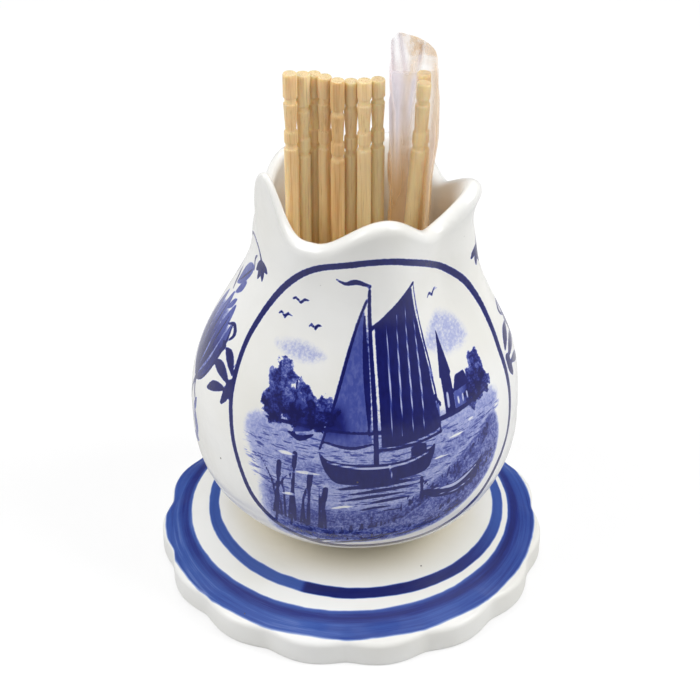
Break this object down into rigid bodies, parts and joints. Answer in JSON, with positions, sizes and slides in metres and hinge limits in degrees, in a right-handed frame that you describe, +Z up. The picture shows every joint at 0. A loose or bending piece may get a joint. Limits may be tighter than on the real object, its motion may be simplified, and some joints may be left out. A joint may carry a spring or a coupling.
{
  "type": "toothpick holder",
  "caption": "Tulip-shaped glazed ceramic cup with pinched petals on a scalloped foot, holding turned wooden toothpicks, some in a clear film sleeve.",
  "frame": {"origin": "middle of the standing ring, on the surface that the foot rests on", "axes": "+Z up along the axis of the cup, -Y towards the viewer of the painted picture, +X to that viewer's right"},
  "size_m": [0.0589, 0.0589, 0.0857],
  "materials": {
    "cup_glaze": "glossy white glaze with cobalt blue painting",
    "foot_glaze": "glossy white glaze with two cobalt blue bands",
    "clear_film": "thin clear wrapping film, lightly creased",
    "turned_wood": "pale bare turned wood"
  },
  "bodies": {
    "holder": {"tulip_body": "cup_glaze", "scalloped_foot": "foot_glaze"},
    "film_sleeve": {"film_sleeve": "clear_film"},
    "loose_pick_1": {"loose_pick_1": "turned_wood"},
    "loose_pick_2": {"loose_pick_2": "turned_wood"},
    "loose_pick_3": {"loose_pick_3": "turned_wood"},
    "loose_pick_4": {"loose_pick_4": "turned_wood"},
    "loose_pick_5": {"loose_pick_5": "turned_wood"},
    "loose_pick_6": {"loose_pick_6": "turned_wood"},
    "loose_pick_7": {"loose_pick_7": "turned_wood"},
    "loose_pick_8": {"loose_pick_8": "turned_wood"},
    "sleeved_pick_front": {"sleeved_pick_front": "turned_wood"},
    "sleeved_pick_back": {"sleeved_pick_back": "turned_wood"}
  },
  "joints": [
    {"name": "loose_pick_1_lift", "type": "slide", "parent": "holder", "child": "loose_pick_1", "axis": [0, 0, 1], "range_m": [0, 0.068]},
    {"name": "loose_pick_2_lift", "type": "slide", "parent": "holder", "child": "loose_pick_2", "axis": [0, 0, 1], "range_m": [0, 0.068]},
    {"name": "loose_pick_3_lift", "type": "slide", "parent": "holder", "child": "loose_pick_3", "axis": [0, 0, 1], "range_m": [0, 0.068]},
    {"name": "loose_pick_4_lift", "type": "slide", "parent": "holder", "child": "loose_pick_4", "axis": [0, 0, 1], "range_m": [0, 0.068]},
    {"name": "loose_pick_5_lift", "type": "slide", "parent": "holder", "child": "loose_pick_5", "axis": [0, 0, 1], "range_m": [0, 0.068]},
    {"name": "loose_pick_6_lift", "type": "slide", "parent": "holder", "child": "loose_pick_6", "axis": [0, 0, 1], "range_m": [0, 0.068]},
    {"name": "loose_pick_7_lift", "type": "slide", "parent": "holder", "child": "loose_pick_7", "axis": [0, 0, 1], "range_m": [0, 0.068]},
    {"name": "loose_pick_8_lift", "type": "slide", "parent": "holder", "child": "loose_pick_8", "axis": [0, 0, 1], "range_m": [0, 0.068]},
    {"name": "film_sleeve_lift", "type": "slide", "parent": "holder", "child": "film_sleeve", "axis": [0, 0, 1], "range_m": [0, 0.055]},
    {"name": "sleeved_pick_front_lift", "type": "slide", "parent": "film_sleeve", "child": "sleeved_pick_front", "axis": [0.0625, 0, 0.998], "range_m": [0, 0.068]},
    {"name": "sleeved_pick_back_lift", "type": "slide", "parent": "film_sleeve", "child": "sleeved_pick_back", "axis": [0, 0, 1], "range_m": [0, 0.068]}
  ]
}
